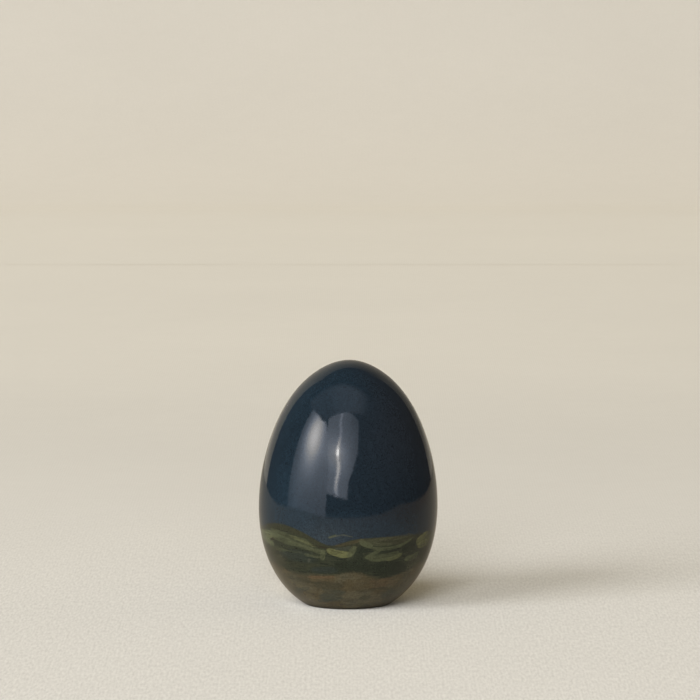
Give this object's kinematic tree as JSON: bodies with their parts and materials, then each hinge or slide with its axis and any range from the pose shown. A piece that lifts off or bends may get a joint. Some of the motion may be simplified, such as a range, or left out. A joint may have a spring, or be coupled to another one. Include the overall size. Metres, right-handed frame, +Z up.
{
  "type": "ceramic egg",
  "caption": "Solid ornamental egg in glossy dark blue glazed ceramic, with a brushed green and brown band, standing upright on a small flat foot.",
  "frame": {"origin": "middle of the flat foot, on the surface that the egg stands on", "axes": "+Z up from the foot to the tip, +X to the right as the picture shows it, -Y towards the picture's viewer"},
  "size_m": [0.0512, 0.0512, 0.07],
  "materials": {
    "glaze": "glossy dark blue glaze with a green and brown brushed band round the lower third; bare clay under the foot"
  },
  "bodies": {
    "root": {"egg": "glaze"}
  },
  "joints": []
}
